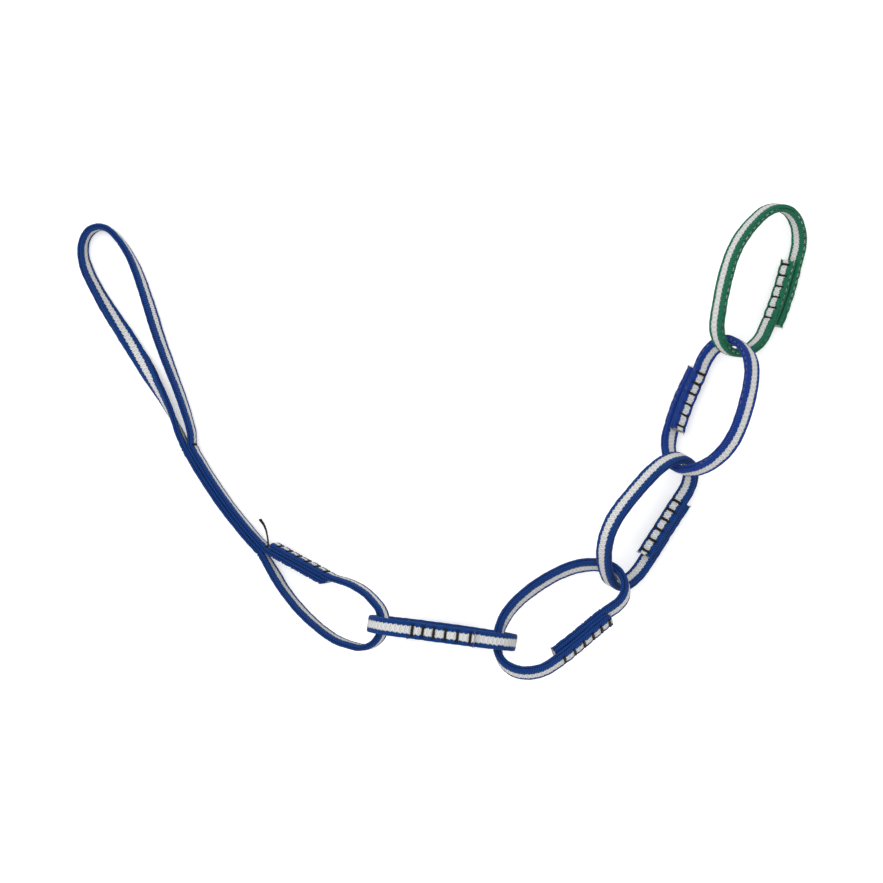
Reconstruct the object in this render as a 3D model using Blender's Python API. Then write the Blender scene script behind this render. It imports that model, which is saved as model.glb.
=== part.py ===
"""Personal anchor system: a tie-in sling and a chain of five sewn webbing links.

Metres, +Z up. The chain lies on a flat surface at z = 0, and the middle of its outline stands at x = y = 0.
"""

import math

import bmesh
import bpy
from mathutils import Matrix, Vector

# Webbing of one width with soft corners, thinner in the sling than in the links
WEB_WIDTH = 0.011
SLING_THICKNESS = 0.0042
LINK_THICKNESS = 0.0052
EDGE_ROUND = 0.0016
CORNER_STEPS = 2

# Clearances between pieces that touch
SEAM_GAP = 0.0003
SEAT_GAP = 0.0003
# The share of a web's width that bears on its neighbour, inside the rounded edges
BEARING_SHARE = 0.86

# Bar tacks: thread bars sunk in both faces, joined by the stitches that go down through both layers
TACK_COUNT = 6
TACK_PITCH = 0.0077
TACK_INSET = 0.0011
TACK_WIDTH = 0.0012
TACK_HEIGHT = 0.0006
STITCH_INSET = 0.0006
STITCH_WIDTH = 0.0007
CUT_OVERRUN = 0.001

# Sewn links: loop length along the middle of the web, bend radius there, and web past the end tacks
LOOP_LENGTH = 0.256
BEND_RADIUS = 0.021
LINK_LAP_MARGIN = 0.00225
BEND_STEP_DEG = 11.0
# Longest step between two cross-sections of a web
STATION_SPACING = 0.0072

# How each link lies: heading, rise and roll of its plane in degrees. A roll of 0 lays the loop flat,
# with its free side to the left of the heading.
LINK_LIE_DEG = {
    "link_1": (-8.4, -10.6, -94.1),
    "link_2": (37.7, -14.3, -33.5),
    "link_3": (59.9, 0.3, 48.6),
    "link_4": (67.6, -0.8, 120.3),
    "link_5": (65.7, -5.4, 41.7),
}
# How far each link's free side bulges, as a share of its bend radius
BULGE_SHARES = {"link_1": 0.967, "link_2": 0.724, "link_3": 0.895, "link_4": 1.038, "link_5": 0.267}
# The last link is sewn the other way round: its outer layer is cut off at its near end
TURNED_LINKS = ("link_5",)

# Doubled strap of the tie-in sling, from the harness eye's tack to the chain eye
STRAP_LENGTH = 0.0895
STRAP_FROM_DEG = -62.0
STRAP_TO_DEG = -46.0
STRAP_ROLL_DEG = 10.0
STRAP_STEPS = 7
# The chain eye's tack sits this far up the strap from the eye
CHAIN_TACK_SETBACK = 0.003

# Harness eye: its length from the tack to its far end, and the spread of its limbs
HARNESS_EYE_LENGTH = 0.161
HARNESS_EYE_WIDTH = 0.031
HARNESS_EYE_HEADING_DEG = 112.6
# Middle of the web, from the right limb over the far end to the left limb, and its roll at the same
# places, in half turns: the left limb has a half twist
HARNESS_EYE_SHARES = (
    (0.055, 0.166, -0.06),
    (0.195, 0.243, -0.08),
    (0.338, 0.270, -0.11),
    (0.481, 0.306, -0.14),
    (0.622, 0.373, -0.14),
    (0.764, 0.419, -0.09),
    (0.850, 0.395, -0.05),
    (0.925, 0.310, -0.02),
    (0.975, 0.190, 0.0),
    (1.000, 0.018, 0.01),
    (0.998, -0.200, 0.05),
    (0.968, -0.400, 0.08),
    (0.914, -0.535, 0.10),
    (0.845, -0.577, 0.15),
    (0.769, -0.552, 0.17),
    (0.693, -0.503, 0.21),
    (0.614, -0.435, 0.28),
    (0.535, -0.358, 0.37),
    (0.456, -0.294, 0.47),
    (0.378, -0.226, 0.59),
    (0.300, -0.168, 0.74),
    (0.224, -0.119, 0.85),
    (0.148, -0.090, 0.94),
    (0.073, -0.085, 1.04),
)

# Chain eye: the plane it lies in, its length to the middle of its bight, its spread and its bend radius
CHAIN_EYE_HEADING_DEG = -36.7
CHAIN_EYE_RISE_DEG = 20.4
CHAIN_EYE_ROLL_DEG = 14.3
CHAIN_EYE_LENGTH = 0.0835
CHAIN_EYE_WIDTH = 0.0386
CHAIN_EYE_BEND = 0.017
BIGHT_OFFSET_SHARE = 0.11
BIGHT_FROM_DEG = -66.0
BIGHT_TO_DEG = 76.0
BIGHT_STEPS = 10
# Lower limb from the tack, and upper limb from the bight
LOWER_LIMB_SHARES = ((0.11, -0.17), (0.29, -0.315), (0.52, -0.425), (0.745, -0.456), (0.92, -0.420))
UPPER_LIMB_SHARES = ((0.91, 0.580), (0.765, 0.540))
# The lap in the upper limb: where it starts from the eye's root, its angle, and web past its end tacks
SLING_LAP_START = 0.002
SLING_LAP_OFFSET = 0.0054
SLING_LAP_DEG = 9.6
SLING_LAP_MARGIN = 0.00475

# Loose doubled end of the sewing thread, which leaves the chain eye's tack and bows to the right
TAIL_RADIUS = 0.0005
TAIL_LENGTH = 0.0188
TAIL_HEADING_DEG = 109.0
TAIL_START_HEIGHT = 0.0025
TAIL_DROP = 0.005
TAIL_SHARES = ((0.0, 0.0, 0.0), (0.25, 0.064, 0.1), (0.54, 0.096, 0.4), (0.76, 0.080, 0.7), (1.0, 0.0, 1.0))

BLUE = (0.004, 0.032, 0.223)
ROYAL_BLUE = (0.004, 0.032, 0.34)
GREEN = (0.0, 0.156, 0.07)
WHITE = (0.60, 0.59, 0.57)
BLACK = (0.006, 0.006, 0.007)

UP = Vector((0, 0, 1))
SLING_LAYER = SLING_THICKNESS + SEAM_GAP
LINK_LAYER = LINK_THICKNESS + SEAM_GAP


def colour_material(name, colour, roughness):
    material = bpy.data.materials.new(name)
    material.use_nodes = True
    shader = material.node_tree.nodes["Principled BSDF"]
    shader.inputs["Base Color"].default_value = (*colour, 1)
    shader.inputs["Roughness"].default_value = roughness
    shader.inputs["Metallic"].default_value = 0
    material.diffuse_color = (*colour, 1)
    return material


def plane_axes(heading, rise, roll):
    """Axes of a loop's plane: along it, across it to its free side, and square to it."""
    turn = Matrix.Rotation(math.radians(heading), 3, "Z")
    lift = Matrix.Rotation(-math.radians(rise), 3, "Y")
    lean = Matrix.Rotation(math.radians(roll), 3, "X")
    return (turn @ lift @ lean).transposed()


def web_section(thickness):
    """Outline of the web as (across its width, through its thickness), round its four soft corners."""
    points = []
    for quarter, (width_sign, depth_sign) in enumerate(((1, 1), (-1, 1), (-1, -1), (1, -1))):
        for step in range(CORNER_STEPS + 1):
            angle = math.radians(90) * (quarter + step / CORNER_STEPS)
            across = width_sign * (WEB_WIDTH / 2 - EDGE_ROUND) + EDGE_ROUND * math.cos(angle)
            through = depth_sign * (thickness / 2 - EDGE_ROUND) + EDGE_ROUND * math.sin(angle)
            points.append((across, through))
    return points


def resting_height(roll):
    """Height of the sling's middle above the surface it rests on, when it is rolled about its length."""
    half_width = WEB_WIDTH / 2 - EDGE_ROUND
    half_depth = SLING_THICKNESS / 2 - EDGE_ROUND
    return half_width * abs(math.cos(roll)) + half_depth * abs(math.sin(roll)) + EDGE_ROUND


def tack_runs(margin):
    """Distances of a splice's bar tacks from the start of its lap, and the length of the lap."""
    runs = [margin + TACK_PITCH * k for k in range(TACK_COUNT)]
    return runs, runs[-1] + margin


def link_course(bulge):
    """A link's web in its own plane, from the inner to the outer cut end, as (point, outward direction)."""
    low, high = bulge, LOOP_LENGTH / 2
    while high - low > SEAM_GAP / 1000:
        half = (low + high) / 2
        depth = (half**2 - bulge**2) / (2 * bulge)
        meet = math.atan2(depth, half)
        radius = math.hypot(half, depth) + BEND_RADIUS
        around = 2 * half + (math.pi + 2 * meet) * BEND_RADIUS + (math.pi - 2 * meet) * radius
        low, high = (half, high) if around < LOOP_LENGTH else (low, half)
    # The lapped side slants across by one layer, so both of its layers run straight into the bends
    slant = math.asin(LINK_LAYER / (2 * half))
    along = Vector((math.cos(slant), -math.sin(slant)))
    outward = Vector((-math.sin(slant), -math.cos(slant)))
    seam_angle = math.atan2(outward.y, outward.x)
    runs, lap = tack_runs(LINK_LAP_MARGIN)
    start = outward * BEND_RADIUS - along * lap / 2
    ends = [start + along * run for run in (0, *runs[1::2], lap)]

    def bend(centre, bend_radius, start_angle, end_angle):
        turn = end_angle - start_angle
        count = math.ceil(max(math.degrees(turn) / BEND_STEP_DEG, turn * bend_radius / STATION_SPACING))
        turns = [start_angle + turn * k / count for k in range(count + 1)]
        directions = [Vector((math.cos(a), math.sin(a))) for a in turns]
        return [(centre + d * bend_radius, d) for d in directions]

    course = [(end - outward * LINK_LAYER / 2, outward) for end in ends]
    course += bend(Vector((half, 0)), BEND_RADIUS, seam_angle, meet)
    course += bend(Vector((0, -depth)), radius, meet, math.pi - meet)[1:]
    course += bend(Vector((-half, 0)), BEND_RADIUS, math.pi - meet, seam_angle + 2 * math.pi)[1:]
    course += [(end + outward * LINK_LAYER / 2, outward) for end in ends]
    return course, half, (start, along, outward)


def bearing_distance(inner_a, inner_b, square_a, square_b):
    """Distance between the middles of two bights, of these inner radii, that bear on each other."""
    crossing = square_a.cross(square_b).length
    reach = BEARING_SHARE * WEB_WIDTH / 2 * (1 + abs(square_a.dot(square_b))) / crossing
    return math.sqrt(inner_a**2 - reach**2) + math.sqrt(inner_b**2 - reach**2) - SEAT_GAP


def web_stations(points):
    """A smooth course through (point, width direction) pairs, as stations along the web."""
    last = len(points) - 1
    spans = [(b[0] - a[0]).length for a, b in zip(points, points[1:])]
    slopes = []
    for k in range(last + 1):
        before, after = max(k - 1, 0), min(k + 1, last)
        run = sum(spans[before:after])
        slopes.append([(points[after][j] - points[before][j]) / run for j in (0, 1)])

    def between(k, u, j):
        ease = (2 * u**3 - 3 * u**2 + 1, u**3 - 2 * u**2 + u, 3 * u**2 - 2 * u**3, u**3 - u**2)
        ends = points[k][j] * ease[0] + points[k + 1][j] * ease[2]
        return ends + (slopes[k][j] * ease[1] + slopes[k + 1][j] * ease[3]) * spans[k]

    smooth = []
    for k in range(last):
        count = math.ceil(spans[k] / STATION_SPACING)
        steps = [step / count for step in range(count)]
        smooth += [(between(k, u, 0), between(k, u, 1)) for u in steps]
    smooth.append(points[last])
    stations = []
    for k, (point, width) in enumerate(smooth):
        ahead = (smooth[min(k + 1, len(smooth) - 1)][0] - smooth[max(k - 1, 0)][0]).normalized()
        width = (width - ahead * width.dot(ahead)).normalized()
        stations.append((point, ahead.cross(width), width))
    return stations


def finished_mesh(name, shape, materials):
    bmesh.ops.recalc_face_normals(shape, faces=shape.faces)
    mesh = bpy.data.meshes.new(name)
    shape.to_mesh(mesh)
    shape.free()
    for material in materials:
        mesh.materials.append(material)
    return mesh


def bridge(shape, rings):
    """Closed skin over rings of vertices: the sides in order, round each ring, then its two ends."""
    count = len(rings[0])
    for ring, after in zip(rings, rings[1:]):
        for k in range(count):
            shape.faces.new((ring[k], ring[(k + 1) % count], after[(k + 1) % count], after[k]))
    shape.faces.new(rings[0][::-1])
    shape.faces.new(rings[-1])


def web_mesh(name, stations, thickness, edge_material):
    """One strip of web as a closed body. A station is (middle, outward direction, width direction)."""
    section = web_section(thickness)
    shape = bmesh.new()
    rings = [[shape.verts.new(m + w * a + o * t) for a, t in section] for m, o, w in stations]
    bridge(shape, rings)
    side_count = len(section) // 2
    for k, face in enumerate(shape.faces):
        # The long sides of the outline are the white faces, the rest is the coloured edge
        face.material_index = 0 if len(face.verts) == 4 and k % side_count == CORNER_STEPS else 1
    mesh = finished_mesh(name, shape, (white, edge_material))
    mesh.shade_smooth()
    mesh.set_sharp_from_angle(angle=math.radians(50))
    return mesh


def block_mesh(name, sizes, materials):
    """Stacked blocks as one closed body: sizes is (height, length, width) for each level, from below."""
    shape = bmesh.new()
    corners = ((-1, -1), (1, -1), (1, 1), (-1, 1))
    rings = [
        [shape.verts.new((wide / 2 * a, long / 2 * b, height)) for a, b in corners]
        for height, long, wide in sizes
    ]
    bridge(shape, rings)
    return finished_mesh(name, shape, materials)


def add_object(name, mesh, joint, place=None):
    """An object under a joint's empty, placed in the world."""
    thing = bpy.data.objects.new(name, mesh)
    bpy.context.collection.objects.link(thing)
    if joint:
        thing.parent = joint
        thing.matrix_parent_inverse = joint.matrix_world.inverted()
    if place:
        thing.matrix_basis = place
    return thing


def tack_meshes(name, thickness):
    """A bar tack through two layers of this thickness, and the cutter for the hole that it sits in."""
    face = thickness + SEAM_GAP / 2
    bar = (WEB_WIDTH - 2 * TACK_INSET, TACK_WIDTH)
    stitch = (bar[0] - 2 * STITCH_INSET, STITCH_WIDTH)
    levels = ((-face, *bar), (TACK_HEIGHT - face, *bar), (TACK_HEIGHT - face, *stitch))
    tack = levels + tuple((-height, long, wide) for height, long, wide in reversed(levels))
    floor = TACK_HEIGHT + SEAM_GAP - face
    bar, stitch = (tuple(size + 2 * SEAM_GAP for size in sizes) for sizes in (bar, stitch))
    levels = ((-face - CUT_OVERRUN, *bar), (floor, *bar), (floor, *stitch))
    hole = levels + tuple((-height, long, wide) for height, long, wide in reversed(levels))
    return block_mesh(name, tack, (black,)), block_mesh(name + "_hole", hole, ())


def add_tacks(names, places, meshes, web, joint):
    """One bar tack at each place, and the hole for each through the web."""
    holes = bpy.data.collections.new(web.name + "_holes")
    for name, place in zip(names, places):
        add_object(name, meshes[0], joint, place)
        hole = add_object(name + "_hole", meshes[1], joint, place)
        hole.hide_render = True
        hole.display_type = "WIRE"
        holes.objects.link(hole)
    cut = web.modifiers.new("tack holes", "BOOLEAN")
    cut.operation = "DIFFERENCE"
    cut.solver = "EXACT"
    cut.operand_type = "COLLECTION"
    cut.collection = holes


def add_joint(name, pivot, axis, parent):
    """An empty at a hinge, with its Z along the hinge's axis."""
    joint = bpy.data.objects.new(name, None)
    bpy.context.collection.objects.link(joint)
    joint.empty_display_size = BEND_RADIUS
    if parent:
        joint.parent = parent
        joint.matrix_parent_inverse = parent.matrix_world.inverted()
    joint.matrix_basis = Matrix.Translation(pivot) @ axis.to_track_quat("Z", "Y").to_matrix().to_4x4()
    bpy.context.view_layer.update()
    return joint


def seam_places(seam, runs):
    """Places along a seam, each with its X along the seam, Y across the web and Z through the layers."""
    start, along, outward = seam
    turn = Matrix((along, outward.cross(along), outward)).transposed().to_4x4()
    return [Matrix.Translation(start + shift + along * run) @ turn for run in runs]


for thing in list(bpy.data.objects):
    bpy.data.objects.remove(thing)

white = colour_material("white web", WHITE, 0.75)
blue = colour_material("blue edge", BLUE, 0.6)
royal_blue = colour_material("royal blue edge", ROYAL_BLUE, 0.6)
green = colour_material("green edge", GREEN, 0.6)
black = colour_material("black thread", BLACK, 0.5)

# Doubled strap of the tie-in sling, laid out from the harness eye's tack
strap_start, strap_end = math.radians(STRAP_FROM_DEG), math.radians(STRAP_TO_DEG)
strap_roll = math.radians(STRAP_ROLL_DEG)
strap_height = resting_height(strap_roll) + SLING_LAYER / 2 * math.sin(strap_roll)


def strap_place(run):
    """The strap after a run from the harness eye: middle, direction, left side and width direction."""
    here = strap_start + (strap_end - strap_start) * run / STRAP_LENGTH
    radius = STRAP_LENGTH / (strap_end - strap_start)
    east = (math.sin(here) - math.sin(strap_start)) * radius
    north = (math.cos(strap_start) - math.cos(here)) * radius
    along = Vector((math.cos(here), math.sin(here), 0))
    lean = Matrix.Rotation(strap_roll, 3, along)
    return Vector((east, north, strap_height)), along, lean @ UP.cross(along), lean @ UP


chain_tack_run = STRAP_LENGTH - CHAIN_TACK_SETBACK
strap_places = [strap_place(chain_tack_run * k / STRAP_STEPS) for k in range(STRAP_STEPS + 1)]
left_strand = [(point + left * SLING_LAYER / 2, width) for point, along, left, width in strap_places]
right_strand = [(point - left * SLING_LAYER / 2, -width) for point, along, left, width in strap_places]

# Harness eye, which rests on the surface all round while its left limb turns over
harness_along = Matrix.Rotation(math.radians(HARNESS_EYE_HEADING_DEG), 3, "Z") @ Vector((1, 0, 0))
harness_right = harness_along.cross(UP) * HARNESS_EYE_WIDTH
harness_along = harness_along * HARNESS_EYE_LENGTH
harness_course = []
for length_share, width_share, roll_share in HARNESS_EYE_SHARES:
    spot = harness_along * length_share + harness_right * width_share
    height = resting_height(math.pi * roll_share)
    harness_course.append((spot + UP * height, math.pi * roll_share))
harness_eye = []
for k, (point, roll) in enumerate(harness_course):
    before, after = harness_course[max(k - 1, 0)][0], harness_course[min(k + 1, len(harness_course) - 1)][0]
    sideways = (after - before).cross(UP).normalized()
    harness_eye.append((point, UP * math.cos(roll) + sideways * math.sin(roll)))

# Chain eye, which rises off the surface in its own plane
eye_root = strap_place(STRAP_LENGTH)[0]
eye_along, eye_across, eye_square = plane_axes(
    CHAIN_EYE_HEADING_DEG, CHAIN_EYE_RISE_DEG, CHAIN_EYE_ROLL_DEG
)
bight_middle = (
    eye_root + eye_along * CHAIN_EYE_LENGTH + eye_across * CHAIN_EYE_WIDTH * BIGHT_OFFSET_SHARE
)
bight_turn = math.radians(BIGHT_TO_DEG - BIGHT_FROM_DEG)
bight_angles = [math.radians(BIGHT_FROM_DEG) + bight_turn * k / BIGHT_STEPS for k in range(BIGHT_STEPS + 1)]
eye_course = [
    eye_root + eye_along * CHAIN_EYE_LENGTH * a + eye_across * CHAIN_EYE_WIDTH * b
    for a, b in LOWER_LIMB_SHARES
]
eye_course += [
    bight_middle + (eye_along * math.cos(a) + eye_across * math.sin(a)) * CHAIN_EYE_BEND
    for a in bight_angles
]
eye_course += [
    eye_root + eye_along * CHAIN_EYE_LENGTH * a + eye_across * CHAIN_EYE_WIDTH * b
    for a, b in UPPER_LIMB_SHARES
]

# The sling's lap, in the upper limb of the chain eye
lap_angle = math.radians(SLING_LAP_DEG)
lap_along = eye_along * math.cos(lap_angle) + eye_across * math.sin(lap_angle)
lap_outward = eye_across * math.cos(lap_angle) - eye_along * math.sin(lap_angle)
lap_start = eye_root + eye_along * SLING_LAP_START + eye_across * SLING_LAP_OFFSET
sling_tack_runs, sling_lap = tack_runs(SLING_LAP_MARGIN)
lap_course = [lap_start + lap_along * run for run in (sling_lap, *reversed(sling_tack_runs), 0)]

# The whole strip: lap, left strand, harness eye, right strand, chain eye, and the lap's outer layer
sling_course = [(point - lap_outward * SLING_LAYER / 2, eye_square) for point in lap_course]
sling_course += left_strand[::-1] + harness_eye + right_strand
sling_course += [(point, -eye_square) for point in eye_course]
sling_course += [(point + lap_outward * SLING_LAYER / 2, -eye_square) for point in lap_course]
sling_stations = web_stations(sling_course)

# The links, each hooked into the bight before it
links = []
link_inner = BEND_RADIUS - LINK_THICKNESS / 2
hook_middle, hook_along, hook_square = bight_middle, eye_along, eye_square
hook_inner = CHAIN_EYE_BEND - SLING_THICKNESS / 2
for name, lie in LINK_LIE_DEG.items():
    along, across, square = plane_axes(*lie)
    course, half, seam = link_course(BULGE_SHARES[name] * BEND_RADIUS)
    pull = hook_square.cross(square).normalized()
    pull = pull if pull.dot(hook_along) > 0 else -pull
    near = hook_middle + pull * bearing_distance(hook_inner, link_inner, hook_square, square)
    middle = near + along * half
    course_along = -along if name in TURNED_LINKS else along
    plane = Matrix((course_along, across, square)).transposed()
    stations = [
        (middle + plane @ point.to_3d(), plane @ outward.to_3d(), square) for point, outward in course
    ]
    seam_start, seam_along, seam_outward = (plane @ vector.to_3d() for vector in seam)
    # It swings about the bight that lies flatter, square to that bight's plane
    pivot, axis = (hook_middle, hook_square) if abs(hook_square.z) > abs(square.z) else (near, square)
    axis = axis if axis.z > 0 else -axis
    links.append((name, stations, (middle + seam_start, seam_along, seam_outward), pivot, axis))
    hook_middle, hook_along, hook_square, hook_inner = middle + along * half, along, square, link_inner

# The chain is moved over its origin: middle of its outline, with its lowest point on the surface
corners = [
    middle + width * across + outward * through
    for stations, thickness in [(sling_stations, SLING_THICKNESS)] + [(link[1], LINK_THICKNESS) for link in links]
    for middle, outward, width in stations
    for across, through in web_section(thickness)
]
lowest = Vector([min(corner[k] for corner in corners) for k in range(3)])
highest = Vector([max(corner[k] for corner in corners) for k in range(3)])
shift = -Vector(((lowest.x + highest.x) / 2, (lowest.y + highest.y) / 2, lowest.z))


def moved(stations):
    return [(middle + shift, outward, width) for middle, outward, width in stations]


# Tie-in sling with its tacks
mesh = web_mesh("tie_in_sling", moved(sling_stations), SLING_THICKNESS, blue)
sling = add_object("tie_in_sling", mesh, None)
tack_names = ["sling_tack_%d" % (k + 1) for k in range(TACK_COUNT)]
tack_spots = seam_places((lap_start, lap_along, lap_outward), sling_tack_runs)
for name, run in (("harness_eye_tack", 0), ("chain_eye_tack", chain_tack_run)):
    point, along, left, width = strap_place(run)
    tack_names.append(name)
    tack_spots += seam_places((point, along, left), (0,))
add_tacks(tack_names, tack_spots, tack_meshes("sling_bar_tack", SLING_THICKNESS), sling, None)

# Thread tail, from the left face of the strap at the chain eye's tack
tail_along = Matrix.Rotation(math.radians(TAIL_HEADING_DEG), 3, "Z") @ Vector((1, 0, 0)) * TAIL_LENGTH
tail_right = tail_along.cross(UP)
tail_start = point + shift + width * TAIL_START_HEIGHT
tail_start += left * (SLING_THICKNESS + SEAM_GAP / 2 + SEAT_GAP + TAIL_RADIUS)
tail = bpy.data.curves.new("thread_tail", "CURVE")
tail.dimensions = "3D"
tail.bevel_depth = TAIL_RADIUS
tail.bevel_resolution = 1
tail.use_fill_caps = True
tail.materials.append(black)
spline = tail.splines.new("POLY")
spline.points.add(len(TAIL_SHARES) - 1)
for place, (ahead, aside, drop) in zip(spline.points, TAIL_SHARES):
    place.co = (*(tail_start + tail_along * ahead + tail_right * aside - UP * TAIL_DROP * drop), 1)
add_object("thread_tail", tail, None)

# Links with their tacks, each under the empty of its joint
edges = {"link_4": royal_blue, "link_5": green}
link_tack = tack_meshes("link_bar_tack", LINK_THICKNESS)
joint = None
for name, stations, seam, pivot, axis in links:
    joint = add_joint(name + "_joint", pivot + shift, axis, joint)
    mesh = web_mesh(name + "_webbing", moved(stations), LINK_THICKNESS, edges.get(name, blue))
    web = add_object(name + "_webbing", mesh, joint)
    tack_names = ["%s_tack_%d" % (name, k + 1) for k in range(TACK_COUNT)]
    add_tacks(tack_names, seam_places(seam, tack_runs(LINK_LAP_MARGIN)[0]), link_tack, web, joint)
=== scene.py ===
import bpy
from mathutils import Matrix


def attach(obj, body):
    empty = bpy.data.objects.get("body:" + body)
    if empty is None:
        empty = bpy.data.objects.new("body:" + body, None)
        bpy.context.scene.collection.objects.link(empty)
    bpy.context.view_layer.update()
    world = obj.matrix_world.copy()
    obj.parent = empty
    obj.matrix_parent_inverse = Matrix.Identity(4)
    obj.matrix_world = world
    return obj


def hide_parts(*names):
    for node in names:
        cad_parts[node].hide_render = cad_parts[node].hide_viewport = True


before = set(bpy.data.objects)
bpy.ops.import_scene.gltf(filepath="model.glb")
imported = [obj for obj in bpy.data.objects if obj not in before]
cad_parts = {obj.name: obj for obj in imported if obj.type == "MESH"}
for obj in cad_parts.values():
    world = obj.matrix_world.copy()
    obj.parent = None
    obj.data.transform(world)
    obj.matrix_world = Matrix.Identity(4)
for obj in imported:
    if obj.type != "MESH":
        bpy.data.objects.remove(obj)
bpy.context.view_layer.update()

import math

import bmesh
import bpy
import numpy as np
from mathutils import Matrix, Vector

# ---- The studio's camera ------------------------------------------------------------------------
# The chain lies on a white table and is seen from straight above. The camera hangs over the middle
# of the picture, 1.3 m up, and its lens takes in 600 mm of the table.
PICTURE_MIDDLE = (0.00029, -0.00219)
CAMERA_HEIGHT = 1.3
TABLE_IN_VIEW = 0.60044
SENSOR_WIDTH_MM = 36
FARTHEST_SEEN = 20

camera = bpy.data.objects.new("camera", bpy.data.cameras.new("camera"))
camera.data.sensor_width = SENSOR_WIDTH_MM
camera.data.lens = SENSOR_WIDTH_MM * CAMERA_HEIGHT / TABLE_IN_VIEW
camera.data.clip_end = FARTHEST_SEEN
camera.location = (*PICTURE_MIDDLE, CAMERA_HEIGHT)
bpy.context.collection.objects.link(camera)
bpy.context.scene.camera = camera

# ---- The tie-in sling's web -----------------------------------------------------------------------
# One long strip of 11 mm woven webbing, white on its faces and blue at both edges. It is pinched
# into a harness eye, a doubled strap and a chain eye, and its ends are lapped in the chain eye's
# upper limb and bar-tacked together. The harness eye's left limb turns over by half a turn.
WEB_WIDTH = 0.011
SLING_THICKNESS = 0.0042
SEAM_GAP = 0.0003
SEAT_GAP = 0.0003
SLING_LAYER = SLING_THICKNESS + SEAM_GAP
EDGE_ROUND = 0.0016
TACK_COUNT = 6
TACK_PITCH = 0.0077
# Where the chain's own origin lies, under the middle of its outline
CHAIN_SHIFT = Vector((-0.17031, -0.00589, 0.0001))
EAST = Vector((1, 0, 0))
UP = Vector((0, 0, 1))

STRAP_LENGTH = 0.0895
STRAP_FROM_DEG, STRAP_TO_DEG, STRAP_ROLL_DEG = -62.0, -46.0, 10.0
STRAP_STEPS = 7
CHAIN_TACK_SETBACK = 0.003
# The harness eye's course, as shares of its length and width, and of half a turn of roll
HARNESS_EYE_LENGTH, HARNESS_EYE_WIDTH, HARNESS_EYE_HEADING_DEG = 0.161, 0.031, 112.6
HARNESS_EYE_SHARES = (
    (0.055, 0.166, -0.06), (0.195, 0.243, -0.08), (0.338, 0.270, -0.11), (0.481, 0.306, -0.14),
    (0.622, 0.373, -0.14), (0.764, 0.419, -0.09), (0.850, 0.395, -0.05), (0.925, 0.310, -0.02),
    (0.975, 0.190, 0.0), (1.000, 0.018, 0.01), (0.998, -0.200, 0.05), (0.968, -0.400, 0.08),
    (0.914, -0.535, 0.10), (0.845, -0.577, 0.15), (0.769, -0.552, 0.17), (0.693, -0.503, 0.21),
    (0.614, -0.435, 0.28), (0.535, -0.358, 0.37), (0.456, -0.294, 0.47), (0.378, -0.226, 0.59),
    (0.300, -0.168, 0.74), (0.224, -0.119, 0.85), (0.148, -0.090, 0.94), (0.073, -0.085, 1.04),
)
CHAIN_EYE_HEADING_DEG, CHAIN_EYE_RISE_DEG, CHAIN_EYE_ROLL_DEG = -36.7, 20.4, 14.3
CHAIN_EYE_LENGTH, CHAIN_EYE_WIDTH, CHAIN_EYE_BEND = 0.0835, 0.0386, 0.017
BIGHT_OFFSET_SHARE = 0.11
BIGHT_FROM_DEG, BIGHT_TO_DEG, BIGHT_STEPS = -66.0, 76.0, 10
LOWER_LIMB_SHARES = ((0.11, -0.17), (0.29, -0.315), (0.52, -0.425), (0.745, -0.456), (0.92, -0.420))
UPPER_LIMB_SHARES = ((0.91, 0.580), (0.765, 0.540))
SLING_LAP_START, SLING_LAP_OFFSET, SLING_LAP_DEG, SLING_LAP_MARGIN = 0.002, 0.0054, 9.6, 0.00475

# The weave: its rows of weft, the herringbone of its face, and its edges of two ribs with a groove
RING_SPACING = 0.0004
WEFT_PITCH = 0.00145
BONE_PITCH = 0.0021
MM = 1000
ROW_RELIEF, FACE_RELIEF = 0.00019, 0.00006
ROW_LEVEL, RIB_LAG = 0.6, 0.25
GROOVE_SHARE = 0.32
GROOVE_DEG, RIB_DEG = (90, 60, 30), (0, 22, 45, 67, 90)
FACE_CROWN = 0.00012
FACE_POINTS = 9
# It is never quite even: the length and the size of its slow waves
WANDERS = ((0.031, 0.00006), (0.013, 0.00005), (0.0061, 0.00004))
WANDER_LAG = 1.7
# Cut ends: rounded over by the heat that sealed them, as shares of a bulge and of the section
SEALED_BULGE = 0.0003
SEALED_SHARES = ((0.55, 0.95), (0.9, 0.8), (1.0, 0.45))
# An inner end may be sealed thin, and a loose outer end may curl
TAPER_REACH, TAPER_POWER = 0.0044, 1.5
SLING_TAPER = 0.72
CURL_REACH, CURL_THINNING = 0.0042, 0.45
# Stray yarns at the corners of a cut end
FRAY_COUNT = 5
FRAY_LENGTH = 0.0021
FRAY_RADIUS, FRAY_SIDES = 0.00019, 5
FRAY_INSET = (0.0003, 0.0012)
FRAY_SINK, FRAY_LEVEL = 0.0004, 0.35
FRAY_AHEAD, FRAY_ASIDE, FRAY_LIFT = (0.4, 1.0), (0.2, 1.1), (-0.5, 0.5)
FRAY_SIZES, FRAY_BEND = (0.5, 1.2), (-0.3, 0.3)
FRAY_STATIONS = ((0, 1.2), (0.3, 1.1), (0.6, 1.0), (0.85, 0.8), (1.0, 0.3))
# What the thread does to the web at a bar tack, and how far the stiff edges resist it
TACK_PRESS = 0.00055
TACK_REACH = 0.0013
TACK_NEAR = 0.009
TACK_NARROWING = 0.012
PUFF, PUFF_SHARE = 0.0003, 0.62
EDGE_HOLD = 0.75

# The edge's blue, with a lighter blue of painted highlight and a darker blue of painted shade; the
# face's white, and the grey it turns to, which is partly painted shade
BLUE = (0.001, 0.046, 0.25)
BLUE_HIGHLIGHT = (0.002, 0.11, 0.42)
BLUE_SHADE = (0.0004, 0.006, 0.06)
WHITE, WHITE_SHADE = (0.90, 0.90, 0.89), (0.40, 0.40, 0.39)
PALE_FLECK = (0.6, 0.6, 0.58)
SEALED_YARN = (0.42, 0.40, 0.34)
BLUE_YARN = (0.003, 0.06, 0.3)


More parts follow.
